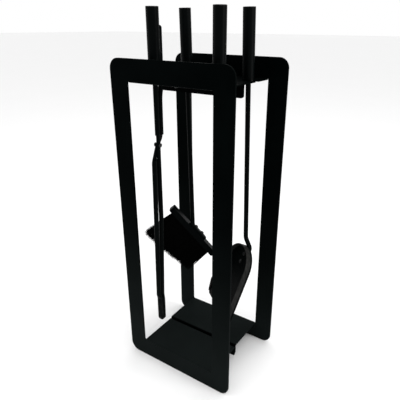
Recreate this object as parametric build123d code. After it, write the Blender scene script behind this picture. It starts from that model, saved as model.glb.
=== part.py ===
from build123d import *
import math
import os

# Fireplace tool set: a stand of two rectangular steel rings joined by a base shelf
# and a tool rest, with a poker, a brush, a shovel and a pair of tongs hanging in it.
# Millimetres, +Z up, origin on the floor at the middle of the stand, front at -Y.

os.makedirs("parts", exist_ok=True)

# Stand: the two ring frames
frame_height = 600.0
frame_width = 242.0
stand_depth = 180.0
frame_sheet = 4.0
frame_band = 36.6
frame_outer_radius = 18.0
frame_window_radius = 3.0
edge_break = 0.4

# Stand: the bent sheets between the frames, each in a front and a rear half
tray_sheet = 2.0
tray_bend = 2.2
tray_lip = 23.0
tray_side_gap = 0.2
tray_corner = 4.0
seam_gap = 0.1
front_shelf_drop = 1.6
rear_shelf_lift = 1.7
rest_upturn = 26.0

# Bolts that join the front and rear halves
bolt_diameter = 5.0
bolt_hole_clearance = 0.3
bolt_spacing = 100.0
bolt_head_diameter = 9.0
bolt_head_height = 2.8
bolt_head_rounding = 1.7
bolt_socket_radius = 1.7
bolt_socket_depth = 1.7
nut_across_flats = 8.0
nut_height = 4.0
washer_diameter = 10.0
washer_thickness = 1.0
bolt_thread_past_nut = 2.0
nut_bore_clearance = 0.03

# Slots of the tool rest
tool_spacing_y = 90.1
slot_clearance = 1.0
slot_end_gap = 0.3
slot_corner_share = 0.95
tongs_notch_clearance = 2.15

# Handles and rods, shared by the four tools
handle_length = 113.8
handle_diameter = 21.0
handle_wall = 1.5
cap_thickness = 2.0
cap_rounding = 0.6
collar_thickness = 3.0
collar_rounding = 0.5
plug_depth = 8.0
plug_clearance = 0.03
rod_diameter = 9.0
tenon_diameter = 8.0
tenon_length = 16.0
tenon_clearance = 0.03
hang_gap = 0.05

# Where each tool hangs along its slot, and how it hangs
tongs_x = -62.1
brush_x = -61.3
poker_x = 66.1
shovel_x = 67.3
brush_turn = 33.4
shovel_turn = 231.8
lean_heading = 33.4
tool_lean = 1.2

# Poker
poker_rod_length = 497.0
poker_point_length = 22.0
poker_point_diameter = 2.0
poker_hook_rise = 42.0
poker_hook_reach = 20.0
poker_hook_diameter = 8.0
poker_hook_foot = 34.0
poker_hook_start = 1.35
poker_hook_elbow_out = 15.0
poker_hook_elbow_rise = 5.0
poker_hook_bend = 10.0
poker_hook_seat_diameter = 4.95

# Brush
brush_bend_depth = 306.9
brush_slope = 52.1
block_length = 139.4
block_width = 19.0
block_thickness = 12.6
block_end_radius = 4.0
block_edge_radius = 1.0
block_upper_end = 58.1
block_back = 2.3
tang_width = 12.0
tang_thickness = 5.0
tang_upper = 7.0
tang_lower = 43.0
tang_edge_radius = 1.5
screw_diameter = 3.5
screw_head_diameter = 8.0
screw_head_height = 3.4
screw_head_rounding = 2.4
screw_rod_gap = 0.3
screw_spacing = 18.7
screw_block_cover = 3.8
bristle_depth_upper = 74.5
bristle_depth_lower = 60.0
bristle_inset = 11.6
bristle_width = 15.0
bristle_gap = 0.05

# Shovel
pan_lip_width = 125.0
pan_back_width = 92.0
pan_length = 145.0
pan_sheet = 2.0
pan_wall = 12.0
pan_taper = 34.0
pan_lip_corner = 8.0
pan_slope = 27.0
pan_top_depth = 322.4
pan_top_setback = 5.8
shovel_joggle_depth = 300.0
shovel_joggle_radius = 25.0
shovel_heel_radius = 14.0
shovel_tang_length = 40.0
shovel_notch_clearance = 0.05
shovel_heel_drop = 2.0
shovel_pan_gap = 0.02
rivet_diameter = 4.0
rivet_head_diameter = 8.0
rivet_head_height = 1.8
rivet_first = 14.0
rivet_spacing = 17.0

# Tongs
pivot_depth = 112.5
tongs_arm_length = 483.5
tongs_leg_bend_depth = 261.5
tongs_leg_drift = 7.3
tongs_leg_radius = 300.0
lever_diameter = 9.0
lever_top = 82.0
lever_gap = 0.3
lever_bend_depth = 7.0
lever_neck_depth = 29.0
lever_neck_offset = 10.1
lever_cross_offset = 9.6
lever_cross_rise = 13.6
lever_leg_offset = 12.2
lever_leg_drop = 30.0
lever_leg_drift = 5.6
lever_bend_radii = [30.0, 60.0, 14.0, 30.0, 20.0]
jaw_length = 50.0
jaw_width = 13.0
jaw_thickness = 4.2
jaw_neck = 12.0
jaw_gap = 0.4
jaw_corner = 4.5
jaw_offset = 8.5
lap_clearance = 0.1
lap_above = 17.5
lap_below = 26.0
lap_cut_depth = 60.0
pivot_diameter = 4.0
pivot_clearance = 0.05
pivot_head_diameter = 7.5
pivot_head_height = 1.8
tongs_opening = 8.0

# Worked out from the sizes above
half_depth = stand_depth / 2
inner_y = half_depth - frame_sheet
window_width = frame_width - 2 * frame_band
tray_width = window_width - 2 * tray_side_gap
rest_top = frame_height - frame_band
tool_y = tool_spacing_y / 2
handle_radius = handle_diameter / 2
rod_radius = rod_diameter / 2
lever_radius = lever_diameter / 2
lever_offset = handle_radius + lever_radius + lever_gap
nearest_tool_x = min(abs(x) for x in (tongs_x, brush_x, poker_x, shovel_x))
slot_inner_x = nearest_tool_x - rod_radius - slot_end_gap
slot_cut_height = 4 * tray_sheet


def save(shape, name):
    shape.label = name
    export_step(shape, f"parts/{name}.step")


def cylinder_between(start, end, diameter):
    """A round bar from start to end."""
    axis = Vector(*end) - Vector(*start)
    plane = Plane(origin=start, z_dir=axis)
    return extrude(plane * Circle(diameter / 2), axis.length)


def bent_rod(points, radii, diameter):
    """A round rod along straight runs joined by tangent arcs."""
    path = FilletPolyline(*points, radius=radii)
    section = Plane(origin=path @ 0, z_dir=path % 0) * Circle(diameter / 2)
    return sweep(section, path=path)


# ---------------------------------------------------------------- stand

def ring_frame(outer_y, facing):
    """One laser-cut ring, with its outer face at outer_y."""
    plane = Plane(origin=(0, outer_y, frame_height / 2), x_dir=(1, 0, 0), z_dir=(0, facing, 0))
    outline = RectangleRounded(frame_width, frame_height, frame_outer_radius)
    window = RectangleRounded(window_width, frame_height - 2 * frame_band, frame_window_radius)
    ring = extrude(plane * (outline - window), -frame_sheet)
    rims = ring.edges().filter_by(lambda edge: abs(edge.bounding_box().size.Y) < 0.01)
    return fillet(rims, edge_break)


def bent_sheet(points):
    """Sheet of the tray's width bent along points given as (y, z) of its middle layer."""
    path = FilletPolyline(*[(0, y, z) for y, z in points], radius=tray_bend)
    section = Plane(origin=path @ 0, x_dir=(1, 0, 0), z_dir=path % 0) * Rectangle(tray_width, tray_sheet)
    return sweep(section, path=path)


def round_low_corners(sheet, bottom):
    """Rounds the free lower corners of a tray's lips."""
    low = sheet.edges().filter_by(Axis.Y).filter_by(
        lambda edge: abs(edge.center().Z - bottom) < 0.01 and edge.length < 2 * tray_sheet)
    return fillet(low, tray_corner)


def shelf_half(side, top):
    """Half of the base shelf: a channel with a lip on the frame and one at the seam."""
    middle = top - tray_sheet / 2
    frame_side = side * (inner_y - tray_sheet / 2)
    seam_side = side * (seam_gap / 2 + tray_sheet / 2)
    bottom = top - tray_lip
    sheet = bent_sheet([(frame_side, bottom), (frame_side, middle), (seam_side, middle), (seam_side, bottom)])
    return round_low_corners(sheet, bottom) - bolt_holes(bolt_height(frame_band))


def rest_half(side):
    """Half of the tool rest: turned up behind the top rail and down at the seam."""
    middle = rest_top - tray_sheet / 2
    frame_side = side * (inner_y - tray_sheet / 2)
    seam_side = side * (seam_gap / 2 + tray_sheet / 2)
    bottom = rest_top - tray_lip
    sheet = bent_sheet([(frame_side, middle + rest_upturn), (frame_side, middle),
                        (seam_side, middle), (seam_side, bottom)])
    return round_low_corners(sheet, bottom) - bolt_holes(bolt_height(rest_top))


def bolt_height(top):
    """Height of the bolts, half way down the lips of a tray whose top is at top."""
    return top - tray_lip / 2 - tray_bend / 2


def bolt_places():
    return [-bolt_spacing / 2, bolt_spacing / 2]


def bolt_holes(height):
    reach = 4 * tray_sheet
    diameter = bolt_diameter + bolt_hole_clearance
    return [cylinder_between((x, -reach, height), (x, reach, height), diameter) for x in bolt_places()]


def tool_slot(x, y, low, high):
    """A slot open at the side edge of the rest, from low to high across it."""
    side = math.copysign(1, x)
    reach = frame_width / 2 - slot_inner_x
    middle = (low + high) / 2
    slot = Box(reach, high - low, slot_cut_height)
    corner = min(slot_clearance + rod_radius, (high - low) / 2) * slot_corner_share
    slot = fillet(slot.edges().filter_by(Axis.Z), corner)
    return Pos(side * (slot_inner_x + reach / 2), y + middle, rest_top) * slot


def tool_slots(side):
    """Slots of one half of the rest. The tongs' slot also clears their swinging lever."""
    half = rod_radius + slot_clearance
    if side > 0:
        return [tool_slot(brush_x, tool_y, -half, half), tool_slot(shovel_x, tool_y, -half, half)]
    swing = math.tan(math.radians(tongs_opening)) * pivot_depth
    high = lever_offset + swing + lever_radius + tongs_notch_clearance
    return [tool_slot(tongs_x, -tool_y, -half, high), tool_slot(poker_x, -tool_y, -half, half)]


def seam_bolts(height):
    """Button-head bolts through both lips, heads towards the front."""
    face = seam_gap / 2 + tray_sheet + washer_thickness
    shank_end = face + nut_height + bolt_thread_past_nut
    bolts = []
    for x in bolt_places():
        head = cylinder_between((x, -face, height), (x, -face - bolt_head_height, height), bolt_head_diameter)
        head = fillet(head.edges().sort_by(Axis.Y)[0], bolt_head_rounding)
        socket = Plane(origin=(x, -face - bolt_head_height, height), z_dir=(0, 1, 0))
        head -= extrude(socket * RegularPolygon(bolt_socket_radius, 6), bolt_socket_depth)
        bolts.append(head + cylinder_between((x, -face, height), (x, shank_end, height), bolt_diameter))
    return Compound(children=bolts)


def seam_washers(height):
    face = seam_gap / 2 + tray_sheet
    washers = []
    for x in bolt_places():
        for side in (-1, 1):
            disc = cylinder_between((x, side * face, height), (x, side * (face + washer_thickness), height),
                                    washer_diameter)
            bore = cylinder_between((x, -2 * face, height), (x, 2 * face, height),
                                    bolt_diameter + bolt_hole_clearance)
            washers.append(disc - bore)
    return Compound(children=washers)


def seam_nuts(height):
    face = seam_gap / 2 + tray_sheet + washer_thickness
    nuts = []
    for x in bolt_places():
        plane = Plane(origin=(x, face, height), z_dir=(0, 1, 0))
        body = extrude(plane * RegularPolygon(nut_across_flats / 2, 6, major_radius=False), nut_height)
        bore = cylinder_between((x, 0, height), (x, face + 2 * nut_height, height),
                                bolt_diameter + 2 * nut_bore_clearance)
        nuts.append(body - bore)
    return Compound(children=nuts)


# ---------------------------------------------------------------- handles
# Each tool is drawn upright about its rod, with z = 0 at the underside of its handle.

def handle_tube():
    height = handle_length - cap_thickness - collar_thickness
    tube = Cylinder(handle_radius, height) - Cylinder(handle_radius - handle_wall, 2 * height)
    return Pos(0, 0, collar_thickness + height / 2) * tube


def handle_cap():
    """Disc that closes the top of the handle, with a plug inside the tube."""
    disc = Cylinder(handle_radius, cap_thickness)
    disc = fillet(disc.edges().sort_by(Axis.Z)[-1], cap_rounding)
    plug_radius = handle_radius - handle_wall - plug_clearance
    plug = Pos(0, 0, -(cap_thickness + plug_depth) / 2) * Cylinder(plug_radius, plug_depth)
    return Pos(0, 0, handle_length - cap_thickness / 2) * (disc + plug)


def handle_collar():
    """Bottom plug of the handle, bored for the rod's tenon."""
    disc = Pos(0, 0, collar_thickness / 2) * Cylinder(handle_radius, collar_thickness)
    disc = fillet(disc.edges().sort_by(Axis.Z)[0], collar_rounding)
    plug_radius = handle_radius - handle_wall - plug_clearance
    plug = Pos(0, 0, collar_thickness + plug_depth / 2) * Cylinder(plug_radius, plug_depth)
    return disc + plug - Cylinder(tenon_diameter / 2 + tenon_clearance, 4 * handle_length)


def tenon():
    return Pos(0, 0, tenon_length / 2) * Cylinder(tenon_diameter / 2, tenon_length)


# ---------------------------------------------------------------- poker

def poker_rod():
    """Straight rod with a forged point."""
    shank = poker_rod_length - poker_point_length
    rod = Pos(0, 0, -shank / 2) * Cylinder(rod_radius, shank)
    point = Pos(0, 0, -shank - poker_point_length / 2) * Cone(
        poker_point_diameter / 2, rod_radius, poker_point_length)
    return rod + point + tenon() - hook_body()


def hook_body():
    """Prong that leaves the rod near its point and turns back up, to pull logs."""
    foot = -poker_rod_length + poker_hook_foot
    points = [(poker_hook_start, 0, foot), (poker_hook_elbow_out, 0, foot + poker_hook_elbow_rise),
              (poker_hook_reach, 0, foot + poker_hook_rise)]
    prong = bent_rod(points, poker_hook_bend, poker_hook_diameter)
    tip = Pos(0, 0, foot + poker_hook_rise) * Pos(poker_hook_reach, 0, 0)
    return prong + tip * Sphere(poker_hook_diameter / 2)


def poker_hook():
    core = Pos(0, 0, -poker_rod_length / 2) * Cylinder(poker_hook_seat_diameter / 2, poker_rod_length)
    return hook_body() - core


# ---------------------------------------------------------------- brush
# The block's plane: along runs down its slope, out points away from the bristles.
# Both are measured from the point where the rod's axis meets the slope.

brush_along = Vector(math.cos(math.radians(brush_slope)), 0, -math.sin(math.radians(brush_slope)))
brush_out = Vector(math.sin(math.radians(brush_slope)), 0, math.cos(math.radians(brush_slope)))
brush_bend = Vector(0, 0, -brush_bend_depth)
block_low = -block_back - block_thickness
tang_top = -block_back + tang_thickness
screw_first = ((rod_radius + screw_rod_gap - tang_top * brush_out.X) / brush_along.X
               + screw_head_diameter / 2)


def brush_point(along, out):
    return brush_bend + brush_along * along + brush_out * out


def brush_plane():
    """Sketch plane whose x runs along the block and y out of it, facing across the block."""
    return Plane(origin=brush_bend, x_dir=brush_along, z_dir=brush_along.cross(brush_out))


def back_plane(out):
    """Sketch plane on the block's back, with x along the block."""
    return Plane(origin=brush_point(0, out), x_dir=brush_along, z_dir=brush_out)


def screw_places():
    return [screw_first + index * screw_spacing for index in range(2)]


def screw_bores(low, high, diameter):
    return [cylinder_between(brush_point(along, low), brush_point(along, high), diameter)
            for along in screw_places()]


def brush_rod():
    """Rod cut to the block's slope, with a flat tang that takes the two screws."""
    length = brush_bend_depth + 2 * rod_diameter
    rod = Pos(0, 0, -length / 2) * Cylinder(rod_radius, length)
    rod -= extrude(back_plane(-block_back) * Rectangle(length, length), -length)
    middle = (tang_lower - tang_upper) / 2
    tang = extrude(back_plane(-block_back) * Pos(middle, 0) * SlotOverall(
        tang_upper + tang_lower, tang_width), tang_thickness)
    tang = fillet(tang.edges().group_by(Axis(brush_bend, brush_out))[-1], tang_edge_radius)
    return rod + tang + tenon() - screw_bores(-block_back, tang_top, screw_diameter + bolt_hole_clearance)


def brush_screws():
    """Two round-head screws through the tang into the block."""
    screws = []
    for along in screw_places():
        seat = brush_point(along, tang_top)
        head = cylinder_between(seat, brush_point(along, tang_top + screw_head_height), screw_head_diameter)
        rim = head.edges().sort_by(Axis(brush_bend, brush_out))[-1]
        head = fillet(rim, screw_head_rounding)
        shank = cylinder_between(seat, brush_point(along, screw_depth()), screw_diameter)
        screws.append(head + shank)
    return Compound(children=screws)


def screw_depth():
    return block_low + screw_block_cover


def brush_block():
    middle = block_length / 2 - block_upper_end
    centre = Pos(middle, (block_low - block_back) / 2)
    profile = brush_plane() * centre * Rectangle(block_length, block_thickness)
    block = extrude(profile, block_width / 2, both=True)
    block = fillet(block.edges().filter_by(Axis((0, 0, 0), brush_out)), block_end_radius)
    block = fillet(block.edges(), block_edge_radius)
    return block - screw_bores(screw_depth(), -block_back, screw_diameter)


def brush_bristles():
    """Closed outline of the bristle bundle, longer at its upper end."""
    low = block_low - bristle_gap
    upper = bristle_inset - block_upper_end
    lower = block_length - block_upper_end - bristle_inset
    outline = Polyline((upper, low), (lower, low), (lower, low - bristle_depth_lower),
                       (upper, low - bristle_depth_upper), close=True)
    return extrude(brush_plane() * make_face(outline), bristle_width / 2, both=True)


# ---------------------------------------------------------------- shovel
# The pan opens towards +X of its own drawing and slopes forward as it goes down.

pan_down = Vector(math.sin(math.radians(pan_slope)), 0, -math.cos(math.radians(pan_slope)))
pan_in = Vector(math.cos(math.radians(pan_slope)), 0, math.sin(math.radians(pan_slope)))
pan_top = Vector(-pan_top_setback, 0, -pan_top_depth)


def pan_outline(inset):
    """Round at the back and wider at the lip; x runs across the pan and y down it."""
    radius = pan_back_width / 2 - inset
    lip = pan_lip_width / 2 - inset
    back = pan_back_width / 2
    start_angle = math.degrees(math.atan2(lip - radius, pan_length - back))
    touch_x = radius * math.cos(math.radians(start_angle))
    touch_y = back - radius * math.sin(math.radians(start_angle))
    line = Line((-lip, pan_length), (-touch_x, touch_y))
    arc = ThreePointArc((-touch_x, touch_y), (0, inset), (touch_x, touch_y))
    sides = Line((touch_x, touch_y), (lip, pan_length))
    front = Line((lip, pan_length), (-lip, pan_length))
    outline = make_face(line + arc + sides + front)
    return fillet(outline.vertices().group_by(Axis.Y)[-1], pan_lip_corner - inset)


def pan_plane(offset):
    """Sketch plane parallel to the pan's floor, offset towards its inside."""
    return Plane(origin=pan_top + pan_in * offset, x_dir=(0, -1, 0), z_dir=pan_in)


def shovel_pan():
    """Floor with a folded wall round the back and sides; the wall runs out at the lip."""
    solid = extrude(pan_plane(-pan_sheet / 2) * pan_outline(0), pan_wall + pan_sheet / 2)
    inside = extrude(pan_plane(pan_sheet / 2) * pan_outline(pan_sheet), pan_wall * 2)
    front = Pos(0, pan_length) * Rectangle(pan_lip_width - 2 * pan_sheet, 4 * pan_sheet)
    pan = solid - inside - extrude(pan_plane(pan_sheet / 2) * front, pan_wall * 2)
    side = Plane(origin=pan_top, x_dir=pan_down, z_dir=pan_down.cross(pan_in))
    run_out = Polyline((pan_length - pan_taper, pan_wall + 1), (pan_length - pan_taper, pan_wall),
                       (pan_length + 1, pan_sheet / 2), (pan_length + 1, pan_wall + 1), close=True)
    pan -= extrude(side * make_face(run_out), pan_lip_width, both=True)
    return pan - shovel_shank(rod_diameter + 2 * shovel_notch_clearance) - rivet_bores()


def rivet_bores():
    reach = 2 * rod_diameter
    return [cylinder_between(place - pan_in * reach, place + pan_in * reach, rivet_diameter)
            for place in rivet_places()]


def shovel_shank(diameter):
    """Rod that steps back over the pan's edge and lies against its outer face."""
    start = tang_start()
    end = start + pan_down * shovel_tang_length
    points = [(0, 0, 0), (0, 0, -shovel_joggle_depth), start, end]
    return bent_rod(points, [shovel_joggle_radius, shovel_heel_radius], diameter)


def tang_start():
    """Where the rod's axis meets the line that lies against the pan's outer face."""
    return pan_top - pan_in * (pan_sheet / 2 + rod_radius + shovel_pan_gap) + pan_down * shovel_heel_drop


def shovel_rod():
    return shovel_shank(rod_diameter) + tenon() - rivet_bores()


def rivet_places():
    return [tang_start() + pan_down * (rivet_first + index * rivet_spacing) for index in range(2)]


def shovel_rivets():
    rivets = []
    for place in rivet_places():
        outer = place - pan_in * rod_radius
        inner = place + pan_in * (rod_radius + pan_sheet + shovel_pan_gap)
        shank = cylinder_between(outer, inner, rivet_diameter)
        outer_head = cylinder_between(outer, outer - pan_in * rivet_head_height, rivet_head_diameter)
        inner_head = cylinder_between(inner, inner + pan_in * rivet_head_height, rivet_head_diameter)
        rivets.append(shank + outer_head + inner_head)
    return Compound(children=rivets)


# ---------------------------------------------------------------- tongs
# The arms cross at the pivot and swing in the YZ plane; x = 0 is the lap between them.

def lap_zone(side):
    """Block that takes away one half of an arm near the pivot."""
    height = lap_above + lap_below
    middle = -pivot_depth + (lap_above - lap_below) / 2
    cut = Box(2 * rod_diameter, lap_cut_depth, height)
    return Pos(-side * (rod_diameter - lap_clearance), 0, middle) * cut


def jaw(leg_y, jaw_y, diameter):
    """Flat pad at the end of a leg, with a neck that spreads from the round leg to the pad."""
    top = -tongs_arm_length + jaw_length
    pad = Pos(0, jaw_y, top - jaw_length / 2) * Box(jaw_width, jaw_thickness, jaw_length)
    low = pad.edges().filter_by(Axis.Y).sort_by(Axis.Z)[:2]
    pad = fillet(low, jaw_corner)
    round_end = Pos(0, leg_y, top + jaw_neck) * Circle(diameter / 2)
    flat_end = Pos(0, jaw_y, top) * Rectangle(jaw_width, jaw_thickness)
    return pad + loft([round_end, flat_end])


def tongs_main_arm():
    """Arm fixed in the handle; straight past the pivot, then leaning to the jaw."""
    leg_end = -tongs_arm_length + jaw_length + jaw_neck
    points = [(0, 0, 0), (0, 0, -tongs_leg_bend_depth), (0, -tongs_leg_drift, leg_end)]
    arm = bent_rod(points, tongs_leg_radius, rod_diameter)
    arm = arm - lap_zone(1) - pivot_bore(0)
    return arm + jaw(-tongs_leg_drift, -jaw_offset, rod_diameter) + tenon()


def tongs_lever_arm():
    """Arm that runs up beside the handle, crosses the other at the pivot and ends in a jaw."""
    leg_y = -lever_leg_offset - lever_leg_drift
    leg_end = -tongs_arm_length + jaw_length + jaw_neck
    points = [(0, lever_offset, lever_top),
              (0, lever_offset, -lever_bend_depth),
              (0, lever_neck_offset, -lever_neck_depth),
              (0, lever_cross_offset, -pivot_depth + lever_cross_rise),
              (0, 0, -pivot_depth),
              (0, -lever_leg_offset, -pivot_depth - lever_leg_drop),
              (0, leg_y, leg_end)]
    arm = bent_rod(points, lever_bend_radii, lever_diameter)
    arm += Pos(0, lever_offset, lever_top) * Sphere(lever_radius)
    arm = arm - lap_zone(-1) - pivot_bore(pivot_clearance)
    return arm + jaw(leg_y, -jaw_offset - jaw_thickness - jaw_gap, lever_diameter)


def pivot_bore(clearance):
    reach = 2 * rod_diameter
    diameter = pivot_diameter + 2 * clearance
    return cylinder_between((-reach, 0, -pivot_depth), (reach, 0, -pivot_depth), diameter)


def tongs_rivet():
    """Rivet through both arms, with a head on each outer side."""
    low = -lever_radius - pivot_clearance
    high = rod_radius
    shank = cylinder_between((low, 0, -pivot_depth), (high, 0, -pivot_depth), pivot_diameter)
    heads = [cylinder_between((low, 0, -pivot_depth), (low - pivot_head_height, 0, -pivot_depth),
                              pivot_head_diameter),
             cylinder_between((high, 0, -pivot_depth), (high + pivot_head_height, 0, -pivot_depth),
                              pivot_head_diameter)]
    return shank + heads


# ---------------------------------------------------------------- placing

def hang(shape, x, y, turn=0.0, lean=0.0):
    """Turns a tool about its rod, leans its lower end towards lean_heading, hangs it in the rest."""
    heading = math.radians(lean_heading)
    axis = Axis((0, 0, 0), (math.sin(heading), -math.cos(heading), 0))
    shape = shape.rotate(Axis.Z, turn).rotate(axis, lean)
    lift = handle_radius * math.sin(math.radians(lean)) + hang_gap
    return Pos(x, y, rest_top + lift) * shape


def save_tool(name, pieces, x, y, turn=0.0, lean=0.0):
    shared = {"handle": handle_tube(), "handle_cap": handle_cap(), "handle_collar": handle_collar()}
    for piece, shape in {**shared, **pieces}.items():
        save(hang(shape, x, y, turn, lean), f"{name}_{piece}")


save(ring_frame(-half_depth, -1), "front_frame")
save(ring_frame(half_depth, 1), "rear_frame")
save(shelf_half(-1, frame_band - front_shelf_drop), "front_base_shelf")
save(shelf_half(1, frame_band + rear_shelf_lift), "rear_base_shelf")
save(rest_half(-1) - tool_slots(-1), "front_tool_rest")
save(rest_half(1) - tool_slots(1), "rear_tool_rest")
save(seam_bolts(bolt_height(frame_band)), "base_bolts")
save(seam_washers(bolt_height(frame_band)), "base_washers")
save(seam_nuts(bolt_height(frame_band)), "base_nuts")
save(seam_bolts(bolt_height(rest_top)), "rest_bolts")
save(seam_washers(bolt_height(rest_top)), "rest_washers")
save(seam_nuts(bolt_height(rest_top)), "rest_nuts")

save_tool("poker", {"rod": poker_rod(), "hook": poker_hook()}, poker_x, -tool_y)
save_tool("brush", {"rod": brush_rod(), "screws": brush_screws(), "block": brush_block(),
                    "bristles": brush_bristles()}, brush_x, tool_y, brush_turn, tool_lean)
save_tool("shovel", {"rod": shovel_rod(), "pan": shovel_pan(), "rivets": shovel_rivets()},
          shovel_x, tool_y, shovel_turn, tool_lean)
save_tool("tongs", {"main_arm": tongs_main_arm(), "lever_arm": tongs_lever_arm(),
                    "pivot_rivet": tongs_rivet()}, tongs_x, -tool_y)
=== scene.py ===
import math
import random

import bmesh
import bpy
from mathutils import Matrix, Vector


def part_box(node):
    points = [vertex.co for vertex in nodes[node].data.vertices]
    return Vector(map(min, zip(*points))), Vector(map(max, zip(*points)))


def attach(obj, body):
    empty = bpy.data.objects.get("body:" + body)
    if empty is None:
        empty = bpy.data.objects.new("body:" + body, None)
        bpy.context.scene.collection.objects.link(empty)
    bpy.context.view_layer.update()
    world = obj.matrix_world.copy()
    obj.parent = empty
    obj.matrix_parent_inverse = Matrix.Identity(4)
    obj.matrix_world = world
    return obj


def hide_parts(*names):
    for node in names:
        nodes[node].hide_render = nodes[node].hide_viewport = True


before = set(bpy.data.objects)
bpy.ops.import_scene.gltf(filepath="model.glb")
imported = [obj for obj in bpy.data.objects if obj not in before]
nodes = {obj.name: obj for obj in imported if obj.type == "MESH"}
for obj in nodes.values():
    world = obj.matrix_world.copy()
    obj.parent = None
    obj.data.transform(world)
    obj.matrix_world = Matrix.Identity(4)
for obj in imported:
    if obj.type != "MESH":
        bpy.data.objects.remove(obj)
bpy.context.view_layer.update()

# Fireplace tool set: coated steel stand and tools, with a black brush.
# Metres, +Z up, origin on the floor in the middle of the stand, front at -Y.

scene = bpy.context.scene


class Wire:
    # a shader socket that can stand in a Python expression
    def __init__(self, finish, socket):
        self.finish = finish
        self.socket = socket

    def apply(self, operation, *terms):
        return self.finish.node("ShaderNodeMath", {"operation": operation}, dict(enumerate(terms)))

    def __add__(self, other):
        return self.apply("ADD", self, other)

    def __radd__(self, other):
        return self.apply("ADD", other, self)

    def __sub__(self, other):
        return self.apply("SUBTRACT", self, other)

    def __rsub__(self, other):
        return self.apply("SUBTRACT", other, self)

    def __mul__(self, other):
        return self.apply("MULTIPLY", self, other)

    def __rmul__(self, other):
        return self.apply("MULTIPLY", other, self)

    def __pow__(self, other):
        return self.apply("POWER", self, other)

    def __rpow__(self, other):
        return self.apply("POWER", other, self)

    def clipped(self):
        return self.apply("MINIMUM", self.apply("MAXIMUM", self, 0.0), 1.0)

    def between(self, low, high):
        # 0 up to low, 1 from high on, smooth between them
        return self.finish.node("ShaderNodeMapRange", {"interpolation_type": "SMOOTHSTEP"},
                                {"Value": self, "From Min": low, "From Max": high})


class Finish:
    # one material, built from expressions
    def __init__(self, name):
        self.material = bpy.data.materials.new(name)
        self.material.use_nodes = True
        self.tree = self.material.node_tree
        self.shader = self.tree.nodes["Principled BSDF"]
        self.place = self.node("ShaderNodeTexCoord", out="Object")

    def node(self, kind, settings=None, sockets=None, out=0):
        made = self.tree.nodes.new(kind)
        for key, value in (settings or {}).items():
            setattr(made, key, value)
        for key, value in (sockets or {}).items():
            self.feed(made.inputs[key], value)
        return Wire(self, made.outputs[out])

    def feed(self, socket, value):
        if isinstance(value, Wire):
            self.tree.links.new(value.socket, socket)
        elif isinstance(value, tuple) and len(value) == 3 and socket.type == "RGBA":
            socket.default_value = (*value, 1.0)
        else:
            socket.default_value = value

    def mixed(self, factor, first, second):
        # colours go through a Mix node; 6, 7 and output 2 are its colour sockets
        return self.node("ShaderNodeMix", {"data_type": "RGBA"}, {0: factor, 6: first, 7: second}, out=2)

    def noise(self, size, detail, stretch=None, roughness=0.5):
        where = self.stretched(stretch) if stretch else self.place
        return self.node("ShaderNodeTexNoise", None,
                         {"Vector": where, "Scale": 1.0 / size, "Detail": detail, "Roughness": roughness})

    def stretched(self, factors):
        return self.node("ShaderNodeVectorMath", {"operation": "MULTIPLY"}, {0: self.place, 1: factors})

    def axis(self, letter):
        return self.node("ShaderNodeSeparateXYZ", None, {0: self.place}, out=letter)

    def facing(self, letter):
        normal = self.node("ShaderNodeNewGeometry", out="Normal")
        return self.node("ShaderNodeSeparateXYZ", None, {0: normal}, out=letter)

    def reach(self, line):
        # distance from an upright line through line = (x, y)
        across = self.axis("X") - line[0]
        deep = self.axis("Y") - line[1]
        return (across * across + deep * deep) ** 0.5

    def bumped(self, height, distance, strength):
        return self.node("ShaderNodeBump", None,
                         {"Height": height, "Distance": distance, "Strength": strength})

    def shade(self, **sockets):
        for name, value in sockets.items():
            self.feed(self.shader.inputs[socketNames[name]], value)
        return self.material


socketNames = {"baseColour": "Base Color", "roughness": "Roughness", "metallic": "Metallic",
               "normal": "Normal", "ior": "IOR", "coat": "Coat Weight",
               "coatRoughness": "Coat Roughness"}


def paint(material, *names):
    for name in names:
        node = nodes[name]
        node.data.materials.clear()
        node.data.materials.append(material)


print("materials")

coat = {
    "colour": (0.0002, 0.0007, 0.0007),
    "pale": (0.0006, 0.0013, 0.0013),
    "scuff": (0.005, 0.0058, 0.0058),
    "dust": (0.030, 0.032, 0.031),
    "lowTone": (0.0064, 0.0084, 0.0082),   # paler towards the bottom of the set
    "bareAndHighlight": (0.16, 0.155, 0.15),       # steel where the coat has gone; on the pan's wall it also paints a highlight
    # colour of the painted shade in the groove along the middle seam
    "seamShadeColour": (0.0001, 0.0002, 0.0002),
    "lowToneTop": 0.38,        # height where the paler tone has faded to nothing
    "seam": (0.0012, 0.0042),          # the painted shade along the seam fades out between these
    "roughness": 0.46,
    "ior": 1.045,
    "grain": 0.0007,       # size of the powder's grain
    "peel": 0.0035,        # size of its orange-peel waves
    "patch": 0.09,
    "scratch": 0.0022,
    "scratchRun": (1.0, 1.0, 0.06),    # scratches run up and down
    "scuffPatch": 0.05,
    "dustSize": 0.012,
    "patchBand": (0.35, 0.7),          # each mask rises over this band of its noise
    "grainBand": (0.55, 0.75),
    "scratchBand": (0.66, 0.74),
    "scuffBand": (0.52, 0.68),
    "dustBand": (0.42, 0.72),
    "levelBand": (0.55, 0.95),         # dust lies where a face looks up this much
    "grainShow": 0.15,     # how strongly each of these shows
    "scuffShow": 0.6,
    "dustShow": 0.10,
    "lowToneShow": (0.55, 0.7),            # everywhere, and more in the patches
    "bareMetal": 0.85,
    "bareGloss": -0.08,    # what each of these adds to the roughness
    "patchRough": 0.10,
    "grainRough": 0.14,
    "scuffRough": 0.12,
    "dustRough": 0.12,
    "grainHeight": 0.35,   # shares of the bump
    "peelHeight": 0.65,
    "scuffDepth": 0.3,
    "bump": 0.00012,
    "bumpStrength": 0.55,
}


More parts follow.
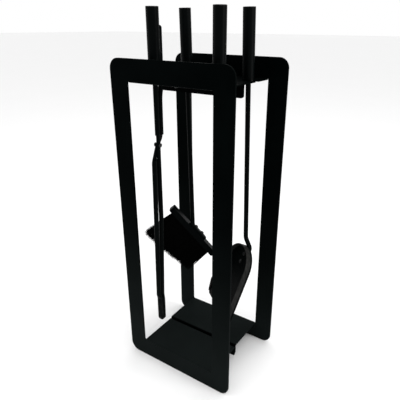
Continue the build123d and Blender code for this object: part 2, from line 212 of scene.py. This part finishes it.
def coatedSteel(name, look, wearAndHighlight=None):
    # satin powder coat; the wear mask marks where the steel has rubbed bare, and on the pan's wall it also
    # paints a highlight in bare steel's colour
    made = Finish(name)
    grain = made.noise(look["grain"], 3.0)
    peel = made.noise(look["peel"], 2.0)
    patch = made.noise(look["patch"], 4.0)
    scratch = made.noise(look["scratch"], 5.0, look["scratchRun"], 0.7).between(*look["scratchBand"])
    scuff = scratch * made.noise(look["scuffPatch"], 3.0).between(*look["scuffBand"])
    offset = made.axis("Y")
    # painted shade: a dark line in the groove where the two halves meet, near y = 0
    seam = 1.0 - ((offset * offset) ** 0.5).between(*look["seam"])
    settled = made.noise(look["dustSize"], 5.0, None, 0.65).between(*look["dustBand"]) * (1.0 - seam)
    dust = made.facing("Z").between(*look["levelBand"]) * settled
    colour = made.mixed(patch.between(*look["patchBand"]), look["colour"], look["pale"])
    # the painted seam shade darkens the colour there
    colour = made.mixed(seam, colour, look["seamShadeColour"])
    colour = made.mixed(grain.between(*look["grainBand"]) * look["grainShow"], colour, look["scuff"])
    colour = made.mixed(scuff * look["scuffShow"], colour, look["scuff"])
    colour = made.mixed(dust * look["dustShow"], colour, look["dust"])
    # a paler tone towards the bottom of the set
    low = (1.0 - made.axis("Z").between(0.0, look["lowToneTop"])) * (1.0 - seam)
    colour = made.mixed(low * (look["lowToneShow"][0] + patch * look["lowToneShow"][1]), colour, look["lowTone"])
    roughness = look["roughness"] + (patch - 0.5) * look["patchRough"] + (grain - 0.5) * look["grainRough"]
    roughness = roughness + scuff * look["scuffRough"] + dust * look["dustRough"]
    metallic = 0.0
    if wearAndHighlight:
        # bare steel where worn; on the pan's wall this also paints a highlight
        bareAndHighlight = wearAndHighlight(made)
        colour = made.mixed(bareAndHighlight, colour, look["bareAndHighlight"])
        roughness = roughness + bareAndHighlight * look["bareGloss"]
        metallic = bareAndHighlight * look["bareMetal"]
    height = grain * look["grainHeight"] + peel * look["peelHeight"] - scuff * look["scuffDepth"]
    return made.shade(baseColour=colour, roughness=roughness, metallic=metallic, ior=look["ior"],
                      normal=made.bumped(height, look["bump"], look["bumpStrength"]))


paint(coatedSteel("standPowderCoat", coat), "front_frame", "rear_frame", "front_base_shelf",
      "rear_base_shelf", "front_tool_rest", "rear_tool_rest")

handle = {
    **coat,
    "colour": (0.0003, 0.0008, 0.0008),
    "roughness": 0.38,
    "ior": 1.10,
    "seam": (-1.0, -0.5),  # a band below zero: no seam, so no painted seam shade
    "grain": 0.0009,
    "peel": 0.0028,
    "rim": 0.0007,         # width of the worn rim
    "rimPatch": 0.004,
    "rimBand": (0.36, 0.62),
    "rimShow": 0.45,
}


def wornRim(tool):
    # bare steel shows thinly round the rim of a handle's cap
    low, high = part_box(tool + "_handle_cap")
    centre = (low + high) / 2
    radius = (high.x - low.x) / 2

    def mask(made):
        reach = made.reach((centre.x, centre.y))
        rim = reach.between(radius - handle["rim"] * 2, radius - handle["rim"] * 0.6)
        top = made.axis("Z").between(high.z - handle["rim"] * 2, high.z - handle["rim"])
        broken = made.noise(handle["rimPatch"], 4.0).between(*handle["rimBand"])
        return rim * top * broken * handle["rimShow"]

    return mask


for tool in ("poker", "brush", "shovel", "tongs"):
    paint(coatedSteel(tool + "HandlePaint", handle), tool + "_handle", tool + "_handle_collar")
    paint(coatedSteel(tool + "CapPaint", handle, wornRim(tool)), tool + "_handle_cap")

rod = {
    **coat,
    "colour": (0.0003, 0.0007, 0.0007),
    "lowTone": (0.0030, 0.0040, 0.0039),
    "roughness": 0.42,
    "ior": 1.08,
    "seam": (-1.0, -0.5),
    "grain": 0.0006,
    "peel": 0.005,
    "wornSpot": 0.006,     # size of the rubbed spots at a tool's end
    "wornRun": (1.0, 1.0, 0.35),
    "wornBand": (0.50, 0.66),
    "pokerEnd": (0.16, 0.2),           # share of the height that is worn, and how strongly
    "tongsEnd": (0.13, 0.12),
}


def wornEnd(node, share, amount):
    # heat and use have rubbed a tool's lower end
    low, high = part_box(node)

    def mask(made):
        end = 1.0 - made.axis("Z").between(low.z, low.z + (high.z - low.z) * share)
        spots = made.noise(rod["wornSpot"], 6.0, rod["wornRun"], 0.7).between(*rod["wornBand"])
        return end * spots * amount

    return mask


paint(coatedSteel("pokerRodPaint", rod, wornEnd("poker_rod", *rod["pokerEnd"])), "poker_rod", "poker_hook")
paint(coatedSteel("brushRodPaint", rod), "brush_rod")
paint(coatedSteel("shovelRodPaint", rod), "shovel_rod")
paint(coatedSteel("tongsPaint", rod, wornEnd("tongs_main_arm", *rod["tongsEnd"])),
      "tongs_main_arm", "tongs_lever_arm")

pan = {
    **rod,
    "lowTone": (0.0006, 0.0010, 0.0010),
    "roughness": 0.40,
    "ior": 1.065,
    "scratchRun": (0.5, 0.5, 0.08),
    "floorPoint": (0.0765, 0.0533, 0.2414),        # where the rod meets the pan's floor
    "floorNormal": (-0.5589, -0.7052, 0.4363),     # towards the inside of the pan
    "wall": (0.0015, 0.0045),          # height over the floor where the painted highlight begins
    # strength of the painted highlight on the wall
    "rubbedAndHighlight": 0.13,
    "streak": 0.004,
    "streakRun": (1.0, 1.0, 0.2),
    "streakBand": (0.2, 0.7),
    "streakShow": (0.35, 0.65),        # everywhere, and more in the streaks
    "lipEnd": (0.16, 0.12),
}


def wallHighlightAndLipWear(look):
    # a painted highlight along the folded wall's length, in streaks, and real wear at the lip's corners a
    # little
    end = wornEnd("shovel_pan", *look["lipEnd"])

    def mask(made):
        offset = made.node("ShaderNodeVectorMath", {"operation": "SUBTRACT"},
                           {0: made.place, 1: look["floorPoint"]})
        rise = made.node("ShaderNodeVectorMath", {"operation": "DOT_PRODUCT"},
                         {0: offset, 1: look["floorNormal"]}, out="Value")
        streaks = made.noise(look["streak"], 5.0, look["streakRun"], 0.6).between(*look["streakBand"])
        # painted highlight: the wall above the pan's floor is lit up in bare steel's colour
        wall = rise.between(*look["wall"]) * (look["streakShow"][0] + streaks * look["streakShow"][1])
        return (wall * look["rubbedAndHighlight"] + end(made)).clipped()

    return mask


paint(coatedSteel("panPaint", pan, wallHighlightAndLipWear(pan)), "shovel_pan")

oxide = {
    "colour": (0.010, 0.0105, 0.011),
    "pale": (0.030, 0.030, 0.029),
    "metallic": 0.7,
    "roughness": 0.33,
    "turned": 0.0009,      # size of the tool marks
    "rubbedAndHighlight": 0.003,
    "rubbedBand": (0.48, 0.7),
    "rubbedShow": 0.7,
    "rubbedRough": 0.12,
    "bump": 0.00006,
    "bumpStrength": 0.5,
}


def blackOxide(name, look):
    # turned steel with a thin oxide skin, rubbed paler on its high spots
    made = Finish(name)
    turned = made.noise(look["turned"], 3.0)
    rubbedAndHighlight = made.noise(look["rubbedAndHighlight"], 5.0).between(*look["rubbedBand"])
    colour = made.mixed(rubbedAndHighlight * look["rubbedShow"], look["colour"], look["pale"])
    return made.shade(baseColour=colour, metallic=look["metallic"],
                      roughness=look["roughness"] + rubbedAndHighlight * look["rubbedRough"],
                      normal=made.bumped(turned, look["bump"], look["bumpStrength"]))


paint(blackOxide("fastenerOxide", oxide), "base_bolts", "base_nuts", "base_washers",
      "rest_bolts", "rest_nuts", "rest_washers", "tongs_pivot_rivet", "brush_screws", "shovel_rivets")

block = {
    "colour": (0.0002, 0.0008, 0.0009),
    "grain": (0.0014, 0.0026, 0.0028),
    "grainRun": (0.05, 1.0, 1.0),      # the grain is long along the block
    "fibre": 1400.0,       # how fine the wood's fibres and rings are
    "rings": 260.0,
    "fibreBand": (0.5, 0.8),
    "fibreShow": 0.5,
    "fibreHeight": 0.6,    # shares of the bump
    "ringHeight": 0.4,
    "ringRough": 0.15,
    "roughness": 0.26,
    "ior": 1.065,
    "coat": 0.012,
    "coatRoughness": 0.25,
    "slope": 52.1,         # degrees that the block runs downwards
    "heading": 33.4,       # degrees from +X that it points to
    "bump": 0.0002,
    "bumpStrength": 0.5,
}


def lacqueredBlock(name, look):
    # black lacquer over close-grained wood; the grain runs along the block
    made = Finish(name)
    turned = made.node("ShaderNodeVectorRotate", {"rotation_type": "EULER_XYZ", "invert": True},
                       {"Vector": made.place,
                        "Rotation": (0.0, math.radians(look["slope"]), math.radians(look["heading"]))})
    along = made.node("ShaderNodeVectorMath", {"operation": "MULTIPLY"}, {0: turned, 1: look["grainRun"]})
    fibre = made.node("ShaderNodeTexNoise", None,
                      {"Vector": along, "Scale": look["fibre"], "Detail": 4.0, "Roughness": 0.6})
    rings = made.node("ShaderNodeTexNoise", None,
                      {"Vector": along, "Scale": look["rings"], "Detail": 2.0})
    colour = made.mixed(fibre.between(*look["fibreBand"]) * look["fibreShow"], look["colour"], look["grain"])
    height = fibre * look["fibreHeight"] + rings * look["ringHeight"]
    return made.shade(baseColour=colour, roughness=look["roughness"] + (rings - 0.5) * look["ringRough"],
                      ior=look["ior"], coat=look["coat"], coatRoughness=look["coatRoughness"],
                      normal=made.bumped(height, look["bump"], look["bumpStrength"]))


paint(lacqueredBlock("blockLacquer", block), "brush_block")

fibres = {
    "rows": 5,
    "columns": 26,
    "each": 38,            # fibres in a tuft
    "tuft": 0.0021,        # radius of a tuft at the block
    "flare": 2.1,          # how much a tuft opens towards its tips
    "thick": 0.00052,
    "thickness": (0.8, 1.15),          # thinnest and thickest fibre, as shares of that
    "taper": ((0.0, 1.0), (0.55, 0.9), (1.0, 0.45)),   # share of the length, and width there
    "corners": 3,
    "ragged": 0.0017,      # how unevenly the tips end
    "stray": 0.010,        # share of fibres that lean out
    "strayLean": 3.0,
    "bow": 0.0012,         # how far a fibre bends
    "tuftShift": (0.0012, 0.0008),     # how far a whole tuft leans, along and across
    "fan": 1.035,          # how much wider the bundle is at its tips, along and across
    "deepFan": 1.12,
    "crown": 0.0026,       # how far the middle tips stand past the outer ones
    "colour": (0.0004, 0.0005, 0.0005),
    "pale": (0.0016, 0.0016, 0.0015),
    "clump": (0.0024, 0.0023, 0.0022),
    "roughness": 0.6,
    "ior": 1.06,
    "strandSize": 0.0007,
    "strandBand": (0.35, 0.7),
    "strandRough": 0.2,
    "clumpSize": 0.006,
    "clumpBand": (0.5, 0.8),
    "clumpShow": 0.4,
    "bump": 0.00005,
    "bumpStrength": 0.4,
    "seed": 7,
}


def bristleCorners():
    # the four corners of the bundle's middle plane, read from its plain solid:
    # upper and lower root, then lower and upper tip, with the direction across it
    mesh = nodes["brush_bristles"].data
    points = [Vector(p) for p in {tuple(round(c, 6) for c in v.co) for v in mesh.vertices}]
    heading = math.radians(block["heading"])
    across = Vector((-math.sin(heading), math.cos(heading), 0.0))
    middle = sum(points, Vector()) / len(points)
    near = [p for p in points if (p - middle).dot(across) < 0]
    half = abs(sum(((p - middle).dot(across) for p in near), 0.0) / len(near))
    flat = [p + across * half for p in near]
    slope = Vector((math.cos(heading), math.sin(heading), 0.0)) * math.cos(math.radians(block["slope"]))
    slope.z = -math.sin(math.radians(block["slope"]))
    out = across.cross(slope).normalized()
    if out.z < 0:
        out = -out
    flat.sort(key=lambda p: p.dot(out))
    tips = sorted(flat[:2], key=lambda p: p.dot(slope))
    roots = sorted(flat[2:], key=lambda p: p.dot(slope))
    return roots[0], roots[1], tips[1], tips[0], across, half


def addFibre(mesh, root, tip, thick, side, bow):
    # a tapering fibre with one soft bend
    run = tip - root
    other = run.cross(side).normalized()
    side = other.cross(run).normalized()
    rings = []
    for share, width in fibres["taper"]:
        middle = root + run * share + bow * math.sin(math.pi * share * 0.5) * share
        ring = []
        for corner in range(fibres["corners"]):
            angle = corner * math.tau / fibres["corners"]
            offset = side * math.cos(angle) + other * math.sin(angle)
            ring.append(mesh.verts.new(middle + offset * thick * width / 2))
        rings.append(ring)
    for lower, upper in zip(rings, rings[1:]):
        for corner in range(fibres["corners"]):
            after = (corner + 1) % fibres["corners"]
            mesh.faces.new((lower[corner], lower[after], upper[after], upper[corner]))
    mesh.faces.new(rings[-1])
    mesh.faces.new(rings[0][::-1])


def makeBristles(look):
    upperRoot, lowerRoot, lowerTip, upperTip, across, half = bristleCorners()
    rng = random.Random(look["seed"])
    mesh = bmesh.new()
    along = (lowerRoot - upperRoot).normalized()
    down = (lowerTip - lowerRoot).normalized()
    for column in range(look["columns"]):
        for row in range(look["rows"]):
            share = (column + 0.5 + (0.25 if row % 2 else -0.25)) / look["columns"]
            deep = (row + 0.5) / look["rows"] * 2 - 1
            root = upperRoot.lerp(lowerRoot, share) + across * deep * (half - look["tuft"])
            tip = upperTip.lerp(lowerTip, 0.5 + (share - 0.5) * look["fan"])
            tip = tip + across * deep * half * look["deepFan"]
            tip = tip + down * look["crown"] * math.sin(math.pi * share)
            tuftShift = along * rng.gauss(0, look["tuftShift"][0])
            tuftShift = tuftShift + across * rng.gauss(0, look["tuftShift"][1])
            for _ in range(look["each"]):
                angle = rng.uniform(0, math.tau)
                spread = math.sqrt(rng.random()) * look["tuft"]
                offset = along * math.cos(angle) * spread + across * math.sin(angle) * spread
                lean = look["flare"]
                if rng.random() < look["stray"]:
                    lean *= look["strayLean"]
                start = root + offset
                end = tip + offset * lean + tuftShift
                end = end + down * rng.gauss(0, 1) * look["ragged"]
                bow = along * rng.gauss(0, look["bow"]) + across * rng.gauss(0, look["bow"])
                thick = look["thick"] * rng.uniform(*look["thickness"])
                addFibre(mesh, start, end, thick, across, bow)
    data = bpy.data.meshes.new("brushBristles")
    mesh.to_mesh(data)
    mesh.free()
    bristles = bpy.data.objects.new("brushBristles", data)
    scene.collection.objects.link(bristles)
    return bristles


def bristleFibre(name, look):
    # matt black fibre, each strand a little different, with paler clumps
    made = Finish(name)
    strand = made.noise(look["strandSize"], 2.0)
    clump = made.noise(look["clumpSize"], 3.0)
    colour = made.mixed(strand.between(*look["strandBand"]), look["colour"], look["pale"])
    colour = made.mixed(clump.between(*look["clumpBand"]) * look["clumpShow"], colour, look["clump"])
    return made.shade(baseColour=colour, roughness=look["roughness"] + (strand - 0.5) * look["strandRough"],
                      ior=look["ior"], normal=made.bumped(strand, look["bump"], look["bumpStrength"]))


print("bristles")
bristles = makeBristles(fibres)
bristles.data.materials.append(bristleFibre("bristleFibre", fibres))
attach(bristles, "brush")
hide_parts("brush_bristles")

print("stage and lights")

studio = {
    "floorSize": 60.0,
    "floorDrop": 0.0002,   # the floor lies this far under the feet
    "floor": 0.92,
    "floorShade": 0.985,   # its darker patches, as a share of its tone
    "floorPatch": 0.4,
    "floorRoughness": 0.9,
    "floorIor": 1.2,
    "sky": 1.0,
    "above": {"power": 20.0, "size": (2.2, 2.2), "at": (0.2, -0.2, 2.6)},
    "right": {"power": 16.0, "size": (0.5, 1.6), "at": (1.9, 0.25, 0.9)},
    "left": {"power": 3.0, "size": (0.8, 1.4), "at": (-1.7, -0.9, 0.9)},
    "aim": (0.0, 0.0, 0.35),
}


def makeFloor(look):
    half = look["floorSize"] / 2
    mesh = bmesh.new()
    corners = ((-half, -half), (half, -half), (half, half), (-half, half))
    mesh.faces.new([mesh.verts.new((x, y, -look["floorDrop"])) for x, y in corners])
    data = bpy.data.meshes.new("floor")
    mesh.to_mesh(data)
    mesh.free()
    floor = bpy.data.objects.new("floor", data)
    scene.collection.objects.link(floor)
    made = Finish("floorPaper")
    tone = made.noise(look["floorPatch"], 2.0)
    colour = made.mixed(tone, (look["floor"],) * 3, (look["floor"] * look["floorShade"],) * 3)
    data.materials.append(made.shade(baseColour=colour, roughness=look["floorRoughness"],
                                     ior=look["floorIor"]))


def makeLamp(name, look, aim):
    data = bpy.data.lights.new(name, "AREA")
    data.shape = "RECTANGLE"
    data.size, data.size_y = look["size"]
    data.energy = look["power"]
    lamp = bpy.data.objects.new(name, data)
    lamp.location = look["at"]
    lamp.rotation_euler = (Vector(aim) - Vector(look["at"])).to_track_quat("-Z", "Y").to_euler()
    scene.collection.objects.link(lamp)


makeFloor(studio)
for name in ("above", "right", "left"):
    makeLamp(name + "Lamp", studio[name], studio["aim"])

world = bpy.data.worlds.new("studioWorld")
scene.world = world
world.use_nodes = True
world.node_tree.nodes["Background"].inputs["Color"].default_value = (studio["sky"],) * 3 + (1.0,)

camera = {
    "at": (0.4248, -0.60922, 0.65093),
    "right": (0.83476, 0.55059, 0.00519),
    "up": (-0.21363, 0.31518, 0.92467),
    "lens": 38.21,
    "sensor": 36.0,
    "shift": (-0.0304, -0.0023),
}


def makeCamera(look):
    data = bpy.data.cameras.new("studioCamera")
    data.lens = look["lens"]
    data.sensor_width = look["sensor"]
    data.shift_x, data.shift_y = look["shift"]
    made = bpy.data.objects.new("studioCamera", data)
    right, up = Vector(look["right"]).normalized(), Vector(look["up"])
    back = right.cross(up).normalized()
    up = back.cross(right)
    turn = Matrix((right, up, back)).transposed()
    made.matrix_world = Matrix.Translation(look["at"]) @ turn.to_4x4()
    scene.collection.objects.link(made)
    scene.camera = made


makeCamera(camera)
scene.view_settings.view_transform = "Standard"

print("done")
